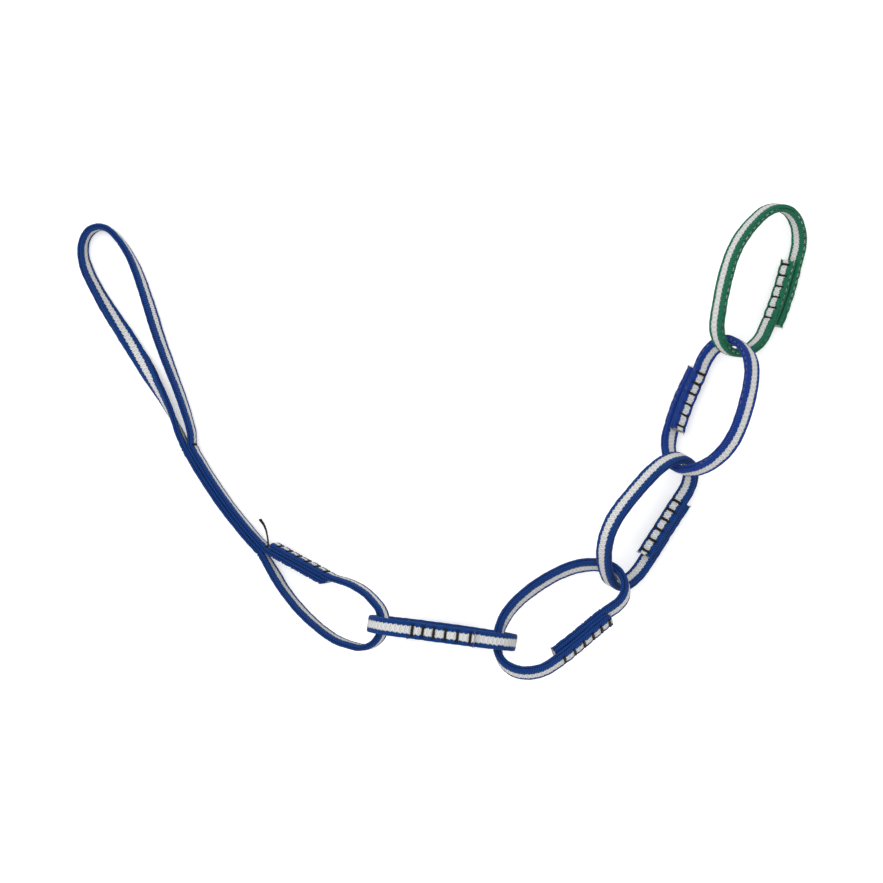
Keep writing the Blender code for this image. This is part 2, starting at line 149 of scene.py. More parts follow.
def unit(vectors):
    """Vectors, one to a row, brought to the same length of 1."""
    return vectors / np.linalg.norm(vectors, axis=1)[:, None]


def web_lie(points):
    """A smooth lie through (point, width direction) pairs: arrays of middle, outward and width."""
    last = len(points) - 1
    spans = [(b[0] - a[0]).length for a, b in zip(points, points[1:])]
    slopes = []
    for k in range(last + 1):
        before, after = max(k - 1, 0), min(k + 1, last)
        run = sum(spans[before:after])
        slopes.append([(points[after][j] - points[before][j]) / run for j in (0, 1)])
    middle, width = [], []
    for k in range(last):
        count = math.ceil(spans[k] / RING_SPACING)
        for step in range(count + (k == last - 1)):
            u = step / count
            leaving, arriving = 2 * u**3 - 3 * u**2 + 1, 3 * u**2 - 2 * u**3
            slope_out, slope_in = u**3 - 2 * u**2 + u, u**3 - u**2
            for j, kept in enumerate((middle, width)):
                ends = points[k][j] * leaving + points[k + 1][j] * arriving
                lean = slopes[k][j] * slope_out + slopes[k + 1][j] * slope_in
                kept.append(ends + lean * spans[k])
    middle, width = np.array(middle), np.array(width)
    ahead = unit(np.gradient(middle, axis=0))
    width = unit(width - ahead * (width * ahead).sum(1)[:, None])
    return middle + np.array(CHAIN_SHIFT), np.cross(ahead, width), width


def web_outline(thickness):
    """The woven section, as (across, through) from the right groove round, and two measures of it.

    They are the distance from the nearest groove and the share of the edge, 1 at the very edge."""
    lobe = thickness / 4 - FACE_CROWN / 2
    inner, outer = np.radians(GROOVE_DEG), np.radians(RIB_DEG)
    # Upper half of the right edge: out of the groove, round the rib, up to the face
    across = [WEB_WIDTH / 2 - GROOVE_SHARE * lobe * (1 - math.cos(a)) for a in inner]
    through = [lobe * (1 - math.sin(a)) for a in inner]
    across += [WEB_WIDTH / 2 - lobe * (1 - math.cos(a)) for a in outer]
    through += [lobe * (1 + math.sin(a)) for a in outer]
    flat = across[-1]
    places = flat * (1 - 2 * np.arange(1, FACE_POINTS + 1) / (FACE_POINTS + 1))
    face = [(a, 2 * lobe + FACE_CROWN * (1 - (a / flat) ** 2)) for a in places]
    quarter = list(zip(across, through))
    upper = quarter + face + [(-a, t) for a, t in quarter[::-1]]
    ring = np.array(upper + [(-a, -t) for a, t in upper[1:-1]])
    steps = np.linalg.norm(np.diff(ring, axis=0, append=ring[:1]), axis=1)
    around = np.concatenate(([0], np.cumsum(steps)))
    half = around[-1] / 2
    from_groove = np.minimum(around[:-1] % half, half - around[:-1] % half)
    edge = np.clip((np.abs(ring[:, 0]) - flat) / (WEB_WIDTH / 2 - flat), 0, 1)
    return ring, from_groove, edge


def woven_relief(run, ring, edge, chance):
    """How far the woven skin stands out at each point, and how far the edges wander aside."""
    # The weft's rows show as small steps on the edge's ribs, one rib half a row behind the other
    side = np.sign(ring[:, 1]) * np.sign(ring[:, 0])
    rows = np.abs(np.sin(math.pi * (run / WEFT_PITCH + RIB_LAG * side))) - ROW_LEVEL
    bones = np.sin(math.tau * (run / (2 * WEFT_PITCH) + np.abs(ring[:, 0]) / BONE_PITCH))
    lift = ROW_RELIEF * edge * rows + FACE_RELIEF * (1 - edge) * bones
    wander = np.zeros_like(lift)
    for length, size in WANDERS:
        rise, drift = chance.uniform(0, math.tau, 3)[:2]
        lift += size * np.sin(math.tau * run / length + rise + WANDER_LAG * side)
        wander += size * np.sin(math.tau * run / length + drift) * edge
    return lift, wander


def tack_marks(middle, outward, thickness, tacks):
    """Along a web: how hard tacks press it, where it swells, which of its faces lies outside."""
    press, swell, outer_face = np.zeros((3, len(middle)))
    for place in tacks:
        seam, square = (np.array(place.col[k][:3]) for k in (0, 2))
        away = middle - np.array(place.translation)
        run, layers = away @ seam, away @ square
        near = (np.abs(layers) < thickness) & (np.linalg.norm(away, axis=1) < TACK_NEAR)
        press = np.where(near, np.maximum(press, np.exp(-((run / TACK_REACH) ** 2))), press)
        swell = np.where(near & (np.abs(run) < TACK_PITCH * PUFF_SHARE), 1, swell)
        outer_face = np.where(near, np.sign(layers) * np.sign(outward @ square), outer_face)
    return press, swell, outer_face


def ring_faces(rings, size):
    """Faces of a tube of this many rings of points, closed at both ends."""
    base = (np.arange(rings - 1) * size)[:, None]
    here = np.arange(size)[None, :]
    beside = (here + 1) % size
    sides = np.stack((base + here, base + beside, base + size + beside, base + size + here), 2)
    last = (rings - 1) * size
    return sides.reshape(-1, 4).tolist() + [
        list(range(size))[::-1], list(range(last, last + size)),
    ]


def web_mesh(name, lie, thickness, tacks, seed, curl=0.0, taper=0.0):
    """A strip of web with its ribs, weft and cut ends, pressed in at its bar tacks."""
    middle, outward, width = lie
    chance = np.random.default_rng(seed)
    ring, from_groove, edge = web_outline(thickness)
    steps = np.linalg.norm(np.diff(middle, axis=0), axis=1)
    along = np.concatenate(([0], np.cumsum(steps)))
    lift, wander = woven_relief(along[:, None], ring, edge, chance)
    across, through = ring[:, 0] + wander, np.repeat(ring[None, :, 1], len(middle), 0)

    # Each bar tack presses both outer faces in, and the web swells between two of them
    press, swell, outer_face = tack_marks(middle, outward, thickness, tacks)
    share = np.clip((through * outer_face[:, None] / (thickness / 2) + 1) / 2, 0, 1)
    shove = (PUFF * swell * (1 - press) ** 2 - TACK_PRESS * press)[:, None]
    shove = shove * share * (1 - EDGE_HOLD * edge) * outer_face[:, None]
    across *= 1 - TACK_NARROWING * press[:, None]

    # The relief stands out square to the outline
    tangent = np.roll(ring, -1, 0) - np.roll(ring, 1, 0)
    square = unit(np.stack((tangent[:, 1], -tangent[:, 0]), 1))
    across = across + lift * square[:, 0]
    through = through + lift * square[:, 1] + shove

    # A loose outer end curls away from the web under it
    loose = np.clip(1 - (along[-1] - along) / CURL_REACH, 0, 1) ** 2
    middle = middle + outward * (curl * loose)[:, None]
    through = through * (1 - (CURL_THINNING if curl else 0) * loose)[:, None]

    # An inner end that was sealed thin lies close against the layer over it
    thinned = taper * np.clip(1 - along / TAPER_REACH, 0, 1) ** TAPER_POWER
    middle = middle + outward * (thickness / 2 * thinned)[:, None]
    through = through * (1 - thinned)[:, None]

    rings = middle[:, None] + width[:, None] * across[..., None]
    rings = rings + outward[:, None] * through[..., None]
    caps = []
    for end, step in ((0, 1), (-1, -1)):
        ahead = middle[end] - middle[end + step]
        ahead /= np.linalg.norm(ahead)
        section = width[end] * across[end][:, None] + outward[end] * through[end][:, None]
        caps.append([
            middle[end] + ahead * SEALED_BULGE * grow + section * shrink
            for grow, shrink in SEALED_SHARES
        ])
    points = np.concatenate((caps[0][::-1], rings, caps[1]))
    total, size = points.shape[:2]
    faces = ring_faces(total, size)
    mesh = bpy.data.meshes.new(name)
    mesh.from_pydata(points.reshape(-1, 3).tolist(), [], faces)

    # In mm: how far along the web, and how far from the nearest groove. Then how hard it is pressed
    depth = len(SEALED_SHARES)
    lay = np.zeros((total, size, 3))
    lay[..., 0] = np.pad(along, depth, "edge")[:, None] * MM
    lay[..., 1] = from_groove[None, :] * MM
    lay[depth:-depth, :, 2] = press[:, None]
    attribute = mesh.attributes.new("lay", "FLOAT_VECTOR", "POINT")
    attribute.data.foreach_set("vector", lay.astype(np.float32).ravel())
    # The second material is that of the cut ends, whose two flat faces come last
    cut = np.zeros(len(faces), dtype=np.int32)
    cut[: depth * size] = cut[-depth * size - 2:] = 1
    mesh.polygons.foreach_set("material_index", cut)
    mesh.shade_smooth()
    shape = bmesh.new()
    shape.from_mesh(mesh)
    bmesh.ops.recalc_face_normals(shape, faces=shape.faces)
    shape.to_mesh(mesh)
    shape.free()
    return mesh


# A direction that no thread follows
OFF_LINE = (0.13, 0.21, 0.97)


def tube_rings(path, radii, sides, squash=1.0):
    """Vertices and faces of a tube along a path, with its own radius at each point."""
    path = np.asarray(path, float)
    ahead = unit(np.gradient(path, axis=0))
    aside = unit(np.cross(ahead, OFF_LINE))
    above = np.cross(aside, ahead)
    angles = (np.arange(sides) * math.tau / sides)[:, None]
    ring = aside[:, None] * np.cos(angles) + above[:, None] * np.sin(angles) * squash
    points = path[:, None] + ring * np.broadcast_to(radii, len(path))[:, None, None]
    return points.reshape(-1, 3), ring_faces(len(path), sides)


def joined_tubes(name, tubes):
    """One mesh from several tubes."""
    points, faces, base = [], [], 0
    for verts, sides in tubes:
        points.append(verts)
        faces += [[k + base for k in face] for face in sides]
        base += len(verts)
    mesh = bpy.data.meshes.new(name)
    mesh.from_pydata(np.concatenate(points).tolist(), [], faces)
    mesh.shade_smooth()
    return mesh


def fray_mesh(name, lie, thickness, seed, taper=0.0):
    """Stray ends of the edge yarns, which stick out of both corners of each cut end."""
    middle, outward, width = lie
    chance = np.random.default_rng(seed)
    stations, shares = zip(*FRAY_STATIONS)
    tubes = []
    for end, step, thinned in ((0, 1, taper), (-1, -1, 0.0)):
        ahead = middle[end] - middle[end + step]
        ahead /= np.linalg.norm(ahead)
        for side in (1, -1):
            for _ in range(FRAY_COUNT):
                inset = WEB_WIDTH / 2 - chance.uniform(*FRAY_INSET)
                level = thinned / 2 + (1 - thinned) * chance.uniform(-FRAY_LEVEL, FRAY_LEVEL)
                root = middle[end] + width[end] * side * inset
                root += outward[end] * thickness * level - ahead * FRAY_SINK
                way = ahead * chance.uniform(*FRAY_AHEAD)
                way = way + width[end] * side * chance.uniform(*FRAY_ASIDE)
                way += outward[end] * chance.uniform(*FRAY_LIFT)
                way *= FRAY_LENGTH * chance.uniform(*FRAY_SIZES) / np.linalg.norm(way)
                bend = chance.uniform(*FRAY_BEND) * FRAY_LENGTH * outward[end]
                path = [root + way * u + bend * u * u for u in stations]
                tubes.append(tube_rings(path, FRAY_RADIUS * np.array(shares), FRAY_SIDES))
    return joined_tubes(name, tubes)


class Shading:
    """The nodes of one shader tree. Each method adds what it needs and gives its result."""

    def __init__(self, tree):
        self.tree = tree

    def feed(self, socket, value):
        """Links a result to a socket, or sets the socket's own value."""
        if isinstance(value, bpy.types.NodeSocket):
            self.tree.links.new(value, socket)
        else:
            socket.default_value = value

    def fed(self, kind, *values):
        """A new node with its first inputs fed in order."""
        node = self.tree.nodes.new(kind)
        for socket, value in zip(node.inputs, values):
            self.feed(socket, value)
        return node

    def sum(self, operation, *values, clamp=False):
        """One step of arithmetic."""
        node = self.fed("ShaderNodeMath", *values)
        node.operation, node.use_clamp = operation, clamp
        return node.outputs[0]

    def plus(self, first, second, clamp=False):
        return self.sum("ADD", first, second, clamp=clamp)

    def less(self, first, second):
        return self.sum("SUBTRACT", first, second)

    def times(self, first, second, clamp=False):
        return self.sum("MULTIPLY", first, second, clamp=clamp)

    def line(self, value, slope, rise):
        """A straight line: slope times the value, plus rise."""
        return self.plus(self.times(value, slope), rise)

    def swing(self, value, size):
        """A grain's swing to both sides of its middle."""
        return self.times(self.less(value, 0.5), size)

    def wave(self, value, length):
        """A sine wave of this length, from -1 to 1."""
        return self.sum("SINE", self.times(value, math.tau / length))

    def step(self, value, low, high):
        """0 below low, 1 above high, and smooth in between."""
        node = self.fed("ShaderNodeMapRange", value, low, high, 0.0, 1.0)
        node.interpolation_type = "SMOOTHSTEP"
        return node.outputs[0]

    def mix(self, share, first, second):
        """Two colours mixed by a share."""
        node = self.tree.nodes.new("ShaderNodeMix")
        node.data_type = "RGBA"
        for socket, value in zip((node.inputs[k] for k in (0, 6, 7)), (share, first, second)):
            self.feed(socket, value)
        return node.outputs[2]

    def noise(self, vector, scale, detail=2.0):
        """Fine grain at a place, from 0 to 1."""
        node = self.tree.nodes.new("ShaderNodeTexNoise")
        for label, value in (("Vector", vector), ("Scale", scale), ("Detail", detail)):
            self.feed(node.inputs[label], value)
        return node.outputs["Fac"]

    def place(self):
        """Where a point lies on its piece."""
        return self.tree.nodes.new("ShaderNodeTexCoord").outputs["Object"]


def group_of(name, inputs, outputs):
    """An empty shader group with these inputs, as (name, kind, usual value), and outputs."""
    group = bpy.data.node_groups.new(name, "ShaderNodeTree")
    for label, kind, usual in inputs:
        kind = "NodeSocket" + kind
        group.interface.new_socket(label, in_out="INPUT", socket_type=kind).default_value = usual
    for label, kind in outputs:
        group.interface.new_socket(label, in_out="OUTPUT", socket_type="NodeSocket" + kind)
    start = group.nodes.new("NodeGroupInput").outputs
    return group, start, group.nodes.new("NodeGroupOutput").inputs


# What each surface's group puts out
SURFACE = (("Colour", "Color"), ("Roughness", "Float"), ("Height", "Float"))

# Woven web: where its coloured edge ends, the ribs and rows of its yarns, and their fine shading,
# much of it painted highlight and painted shade.
# Its lengths are in mm, and its grains are so many to a metre.
ROW_MM, LADDER_MM, CROSS_MM, CROSS_LEAN_MM = 1.45, 2.9, 0.95, 1.25
SCALLOP_MM, RIB_MM, GROOVE_FLECK_MM, BONE_MM = 0.72, 0.55, 4.6, 1.5
FINE_GRAIN, FUZZ_GRAIN, PATCH_GRAIN, WORN_GRAIN = 2600.0, 5200.0, 210.0, 34.0
SCALLOP_DEPTH, SCALLOP_WAVE_MM = 0.6, 0.3
BORDER_PATCHES_MM, BORDER_FUZZ_MM, BORDER_SOFTNESS_MM = 1.1, 0.5, 0.09
ROW_SLANT, BONE_SLANT = 2.2, 3.6
GROOVE_MM, GROOVE_FLECK_BAND_MM = (0.25, 0.75), (0.3, 0.5)
BONES, CROSSES, LADDERS = 0.25, 0.15, 0.12
PATCH_SHADE, BORDER_SHADE, PRESSED_SHADE = 0.12, 0.28, 0.35
BORDER_SHADE_MM = 0.6
RIB_HEIGHT, ROW_HEIGHT, WEAVE_HEIGHT = 0.55, 0.35, 0.7
WEB_ROUGHNESS, LIGHT_GLOSS = 0.86, 0.3
woven_web, start, result = group_of(
    "woven_web",
    (
        ("Edge Colour", "Color", (*BLUE, 1)), ("Edge Light", "Color", (*BLUE_HIGHLIGHT, 1)),
        ("Edge Dark", "Color", (*BLUE_SHADE, 1)), ("Face Colour", "Color", (*WHITE, 1)),
        ("Face Shade", "Color", (*WHITE_SHADE, 1)), ("Fleck Colour", "Color", (*PALE_FLECK, 1)),
        ("Edge Reach", "Float", 4.2), ("Flecks", "Float", 0.0), ("Groove Flecks", "Float", 0.0),
    ),
    SURFACE,
)
web = Shading(woven_web)
lay = woven_web.nodes.new("ShaderNodeAttribute")
lay.attribute_name = "lay"
parts = woven_web.nodes.new("ShaderNodeSeparateXYZ")
woven_web.links.new(lay.outputs["Vector"], parts.inputs[0])
run, off, pressed = parts.outputs
place = web.place()
grain = web.noise(place, FINE_GRAIN)
patches = web.noise(place, PATCH_GRAIN)
fuzz = web.noise(place, FUZZ_GRAIN, 3.0)
# The edge's colour ends in small scallops, one to each row of weft, and not quite evenly
scallop = web.times(web.less(web.sum("PINGPONG", run, SCALLOP_MM), SCALLOP_MM / 2), SCALLOP_DEPTH)
scallop = web.plus(scallop, web.times(web.wave(run, LADDER_MM), SCALLOP_WAVE_MM))
border = web.plus(web.plus(start["Edge Reach"], scallop), web.swing(patches, BORDER_PATCHES_MM))
border = web.plus(border, web.swing(fuzz, BORDER_FUZZ_MM))
edge_mask = web.step(web.less(border, off), -BORDER_SOFTNESS_MM, BORDER_SOFTNESS_MM)
# Fine ribs run along the edge, crossed by the rows, with painted highlight where both stand up and
# painted shade where they dip
ribs = web.line(web.wave(off, RIB_MM), 0.5, 0.5)
row_phase = web.plus(web.times(run, math.tau / ROW_MM), web.times(off, ROW_SLANT))
rows = web.line(web.sum("SINE", row_phase), 0.5, 0.5)
light = web.times(web.times(ribs, rows), web.line(grain, 0.9, 0.2), clamp=True)
edge_colour = web.mix(light, start["Edge Colour"], start["Edge Light"])
# Painted shade where the rows dip between the ribs
rib_dip_shade = web.times(web.less(1.0, rows), web.plus(fuzz, 0.25), clamp=True)
edge_colour = web.mix(rib_dip_shade, edge_colour, start["Edge Dark"])
# Painted shade darkens the groove, dashed by the rows of weft
dashes = web.step(web.wave(run, ROW_MM), -0.55, 0.25)
groove = web.less(1.0, web.step(off, *GROOVE_MM))
groove = web.times(groove, web.line(dashes, 0.6, 0.4))
edge_colour = web.mix(groove, edge_colour, start["Edge Dark"])
# Pale flecks of the core show through, and in the groove where it is worn
flecks = web.times(web.step(grain, 0.60, 0.68), start["Flecks"])
groove_row = web.times(
    web.less(1.0, web.step(off, *GROOVE_FLECK_BAND_MM)),
    web.step(web.wave(run, GROOVE_FLECK_MM), -0.3, 0.1),
)
worn = web.step(web.noise(place, WORN_GRAIN, 1.0), 0.44, 0.56)
groove_flecks = web.times(web.times(groove_row, worn), start["Groove Flecks"])
flecks = web.sum("MAXIMUM", flecks, groove_flecks)
edge_colour = web.mix(flecks, edge_colour, start["Fleck Colour"])
# The white face is a fine herringbone
bone_phase = web.times(web.sum("PINGPONG", off, BONE_MM), BONE_SLANT)
bones = web.sum("SINE", web.plus(web.times(run, math.tau / ROW_MM), bone_phase))
cross_phase = web.times(off, math.tau / CROSS_LEAN_MM)
cross = web.sum("SINE", web.less(web.times(run, math.tau / CROSS_MM), cross_phase))
weave = web.plus(
    web.plus(web.times(bones, BONES), web.times(cross, CROSSES)),
    web.line(web.wave(run, LADDER_MM), LADDERS, 0.5),
)
# Painted shade greys it in the hollows of its weave and in the dents where thread presses it; it is
# also greyer in patches and beside the colour
painted_shade_and_tone = web.times(
    web.sum("POWER", web.less(1.0, weave), 1.6), web.line(grain, 2.4, -0.1), clamp=True
)
painted_shade_and_tone = web.plus(painted_shade_and_tone, web.times(web.less(1.0, patches), PATCH_SHADE), clamp=True)
beside = web.less(1.0, web.step(web.less(off, border), 0.0, BORDER_SHADE_MM))
painted_shade_and_tone = web.plus(painted_shade_and_tone, web.times(beside, BORDER_SHADE), clamp=True)
# Painted shade in the dents that the tack threads press
painted_shade_and_tone = web.plus(painted_shade_and_tone, web.times(web.sum("POWER", pressed, 2.0), PRESSED_SHADE), clamp=True)
face_colour = web.mix(painted_shade_and_tone, start["Face Colour"], start["Face Shade"])
edge_height = web.plus(
    web.times(ribs, RIB_HEIGHT), web.plus(web.times(rows, ROW_HEIGHT), web.times(fuzz, 0.3))
)
face_height = web.plus(web.times(weave, WEAVE_HEIGHT), web.times(fuzz, 0.5))
web.feed(result["Colour"], web.mix(edge_mask, face_colour, edge_colour))
gloss = web.times(edge_mask, web.times(light, LIGHT_GLOSS))
web.feed(result["Roughness"], web.less(WEB_ROUGHNESS, gloss))
web.feed(result["Height"], web.plus(
    web.times(edge_mask, edge_height), web.times(web.less(1.0, edge_mask), face_height)
))

# Bare fibres: patches of two tones and two glosses
bare_fibres, start, result = group_of(
    "bare_fibres",
    (
        ("Dark", "Color", (0, 0, 0, 1)), ("Light", "Color", (1, 1, 1, 1)),
        ("Light From", "Float", 0.42), ("Light To", "Float", 0.62), ("Grain", "Float", 1900.0),
        ("Matt To", "Float", 0.9), ("Matt From", "Float", 0.1),
    ),
    SURFACE,
)
fibres = Shading(bare_fibres)
spots = fibres.noise(fibres.place(), start["Grain"], 3.0)
lit = fibres.step(spots, start["Light From"], start["Light To"])
fibres.feed(result["Colour"], fibres.mix(lit, start["Dark"], start["Light"]))
fibres.feed(result["Roughness"], fibres.step(spots, start["Matt To"], start["Matt From"]))
fibres.feed(result["Height"], spots)

# Depth of the woven relief and of that of bare yarns, and how dark the yarns' shade is
WEAVE_RELIEF, WEAVE_STRENGTH = 0.00045, 0.7
YARN_RELIEF, YARN_SHADE = 0.0002, 0.45


def grouped_material(name, group, values, relief, strength, finish):
    """A material whose colour, roughness and relief come from a group, with a finish of its own."""
    material = bpy.data.materials.new(name)
    material.use_nodes = True
    tree = material.node_tree
    shader = tree.nodes["Principled BSDF"]
    effect = tree.nodes.new("ShaderNodeGroup")
    effect.node_tree = group
    for label, value in values.items():
        socket = effect.inputs[label.replace("_", " ").title()]
        socket.default_value = (*value, 1) if isinstance(value, tuple) else value
    bump = tree.nodes.new("ShaderNodeBump")
    bump.inputs["Strength"].default_value = strength
    bump.inputs["Distance"].default_value = relief
    tree.links.new(effect.outputs["Colour"], shader.inputs["Base Color"])
    tree.links.new(effect.outputs["Roughness"], shader.inputs["Roughness"])
    tree.links.new(effect.outputs["Height"], bump.inputs["Height"])
    tree.links.new(bump.outputs["Normal"], shader.inputs["Normal"])
    for label, value in finish.items():
        shader.inputs[label].default_value = value
    return material


def web_material(name, reach, **values):
    """Nylon webbing, its edge's colour reaching so far: dull, with the sheen of fine filaments."""
    finish = {"Specular IOR Level": 0.2, "Sheen Weight": 0.04, "Sheen Roughness": 0.5}
    values = {"edge_reach": reach * MM, **values}
    return grouped_material(name, woven_web, values, WEAVE_RELIEF, WEAVE_STRENGTH, finish)


def yarn_material(name, colour):
    """Cut or sealed yarns: uneven in tone, and glossy in spots where heat has run them together."""
    values = {"dark": tuple(YARN_SHADE * part for part in colour), "light": colour}
    return grouped_material(name, bare_fibres, values, YARN_RELIEF, 1.0, {})


def piece_of(name, mesh, materials, body, slot, *nodes):
    """A piece of the chain in its place, riding with its body and standing for its plain solids."""
    for material in materials:
        mesh.materials.append(material)
    piece = bpy.data.objects.new(name, mesh)
    bpy.context.collection.objects.link(piece)
    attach(piece, body)
    if nodes:
        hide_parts(*nodes)
    return piece


def plane_axes(heading, rise, roll):
    """Axes of a loop's plane: along it, across it to its free side, and square to it."""
    turn = Matrix.Rotation(math.radians(heading), 3, "Z")
    lift = Matrix.Rotation(-math.radians(rise), 3, "Y")
    lean = Matrix.Rotation(math.radians(roll), 3, "X")
    return (turn @ lift @ lean).transposed()


def resting_height(roll):
    """Height of the sling's middle above the table, when it is rolled about its length."""
    half_width = WEB_WIDTH / 2 - EDGE_ROUND
    half_depth = SLING_THICKNESS / 2 - EDGE_ROUND
    return half_width * abs(math.cos(roll)) + half_depth * abs(math.sin(roll)) + EDGE_ROUND


def tack_runs(margin):
    """Distances of a splice's bar tacks from the start of its lap, and the length of the lap."""
    runs = [margin + TACK_PITCH * k for k in range(TACK_COUNT)]
    return runs, runs[-1] + margin


def seam_places(seam, runs):
    """Places along a seam: X along the seam, Y across the web and Z out through the layers."""
    start, along, outward = seam
    turn = Matrix((along, outward.cross(along), outward)).transposed().to_4x4()
    return [Matrix.Translation(start + CHAIN_SHIFT + along * run) @ turn for run in runs]


strap_start, strap_end = math.radians(STRAP_FROM_DEG), math.radians(STRAP_TO_DEG)
strap_roll = math.radians(STRAP_ROLL_DEG)
strap_height = resting_height(strap_roll) + SLING_LAYER / 2 * math.sin(strap_roll)


def strap_place(run):
    """The strap after a run from the harness eye: middle, direction, left side, width direction."""
    here = strap_start + (strap_end - strap_start) * run / STRAP_LENGTH
    radius = STRAP_LENGTH / (strap_end - strap_start)
    east = (math.sin(here) - math.sin(strap_start)) * radius
    north = (math.cos(strap_start) - math.cos(here)) * radius
    along = Vector((math.cos(here), math.sin(here), 0))
    lean = Matrix.Rotation(strap_roll, 3, along)
    return Vector((east, north, strap_height)), along, lean @ UP.cross(along), lean @ UP


# The doubled strap's two strands
chain_tack_run = STRAP_LENGTH - CHAIN_TACK_SETBACK
strap_places = [strap_place(chain_tack_run * k / STRAP_STEPS) for k in range(STRAP_STEPS + 1)]
left_strand = [(point + left * SLING_LAYER / 2, width) for point, _, left, width in strap_places]
right_strand = [(point - left * SLING_LAYER / 2, -width) for point, _, left, width in strap_places]

# The harness eye stands on its edge and leans as its roll says
harness_along = Matrix.Rotation(math.radians(HARNESS_EYE_HEADING_DEG), 3, "Z") @ EAST
harness_right = harness_along.cross(UP) * HARNESS_EYE_WIDTH
harness_along = harness_along * HARNESS_EYE_LENGTH
harness_course = []
for length_share, width_share, roll_share in HARNESS_EYE_SHARES:
    spot = harness_along * length_share + harness_right * width_share
    roll = math.pi * roll_share
    harness_course.append((spot + UP * resting_height(roll), roll))
harness_eye = []
for k, (point, roll) in enumerate(harness_course):
    before = harness_course[max(k - 1, 0)][0]
    after = harness_course[min(k + 1, len(harness_course) - 1)][0]
    sideways = (after - before).cross(UP).normalized()
    harness_eye.append((point, UP * math.cos(roll) + sideways * math.sin(roll)))

# The chain eye: its lower limb, the round bight that holds link 1, and its upper limb
eye_root = strap_place(STRAP_LENGTH)[0]
eye_along, eye_across, eye_square = plane_axes(
    CHAIN_EYE_HEADING_DEG, CHAIN_EYE_RISE_DEG, CHAIN_EYE_ROLL_DEG
)


def eye_points(shares):
    """Points of the chain eye, from shares of its length and width."""
    return [
        eye_root + eye_along * CHAIN_EYE_LENGTH * length + eye_across * CHAIN_EYE_WIDTH * width
        for length, width in shares
    ]


bight_middle = eye_points([(1, BIGHT_OFFSET_SHARE)])[0]
bight_start = math.radians(BIGHT_FROM_DEG)
bight_turn = math.radians(BIGHT_TO_DEG - BIGHT_FROM_DEG)
eye_course = eye_points(LOWER_LIMB_SHARES)
for k in range(BIGHT_STEPS + 1):
    angle = bight_start + bight_turn * k / BIGHT_STEPS
    spoke = eye_along * math.cos(angle) + eye_across * math.sin(angle)
    eye_course.append(bight_middle + spoke * CHAIN_EYE_BEND)
eye_course += eye_points(UPPER_LIMB_SHARES)

# The lap, and the whole strip from its inner to its outer cut end
lap_angle = math.radians(SLING_LAP_DEG)
lap_along = eye_along * math.cos(lap_angle) + eye_across * math.sin(lap_angle)
lap_outward = eye_across * math.cos(lap_angle) - eye_along * math.sin(lap_angle)
lap_start = eye_root + eye_along * SLING_LAP_START + eye_across * SLING_LAP_OFFSET
sling_tack_runs, sling_lap = tack_runs(SLING_LAP_MARGIN)
lap_course = [lap_start + lap_along * run for run in (sling_lap, *reversed(sling_tack_runs), 0)]
sling_course = [(point - lap_outward * SLING_LAYER / 2, eye_square) for point in lap_course]
sling_course += left_strand[::-1] + harness_eye + right_strand
sling_course += [(point, -eye_square) for point in eye_course]
sling_course += [(point + lap_outward * SLING_LAYER / 2, -eye_square) for point in lap_course]

# Where its bar tacks are sewn
sling_seams = dict(zip(
    ["sling_tack_%d" % (k + 1) for k in range(TACK_COUNT)],
    seam_places((lap_start, lap_along, lap_outward), sling_tack_runs),
))
for name, run in (("harness_eye_tack", 0), ("chain_eye_tack", chain_tack_run)):
    point, along, left, _ = strap_place(run)
    sling_seams[name] = seam_places((point, along, left), (0,))[0]

BLUE_REACH = 0.0050
SLING_WEB_SEED, SLING_FRAY_SEED = 11, 21
blue_web = web_material("blue_edged_web", BLUE_REACH)
cut_core = yarn_material("sealed_cut_end", SEALED_YARN)
blue_yarn = yarn_material("frayed_blue_yarn", BLUE_YARN)
sling_lie = web_lie(sling_course)
mesh = web_mesh(
    "sling_web", sling_lie, SLING_THICKNESS, sling_seams.values(), SLING_WEB_SEED, taper=SLING_TAPER
)
piece_of("sling_web", mesh, (blue_web, cut_core), "sling", "blue_web", "tie_in_sling")
mesh = fray_mesh("sling_fray", sling_lie, SLING_THICKNESS, SLING_FRAY_SEED, SLING_TAPER)
piece_of("sling_fray", mesh, (blue_yarn,), "sling", "blue_web")

# ---- Bar tacks ----------------------------------------------------------------------------------
# Thick black thread, sewn to and fro across the web through both layers by a machine. On each face
# it lies as a short bar of close zigzag stitches, a little ragged, sunk between the web's swells.
TACK_LENGTH = 0.0079
TACK_WIDTH = 0.0021
TACK_STITCHES = 36
THREAD_RADIUS, THREAD_SIDES = 0.0003, 6
THREAD_STAND = THREAD_RADIUS * 1.7
# How far a stitch dips where it goes through the web, and how far it arches in between
STITCH_DIP, STITCH_ARCH = 0.00026, 0.00005
STITCH_STATIONS = (0.0, 0.2, 0.5, 0.8)
RAGGED_ENDS = (-0.0003, 0.00018)
RAGGED_STEP = 0.00007
SUNK_SHARE = 0.6
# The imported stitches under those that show
CORE_DROP, CORE_REACH, CORE_STEPS = 0.00012, 0.47, 9
CORE_RADIUS, CORE_SIDES, CORE_SQUASH = TACK_WIDTH * 0.36, 8, 0.35
SLING_TACK_SEED = 40
BLACK, BLACK_LIGHT = (0.004, 0.004, 0.0045), (0.014, 0.014, 0.016)


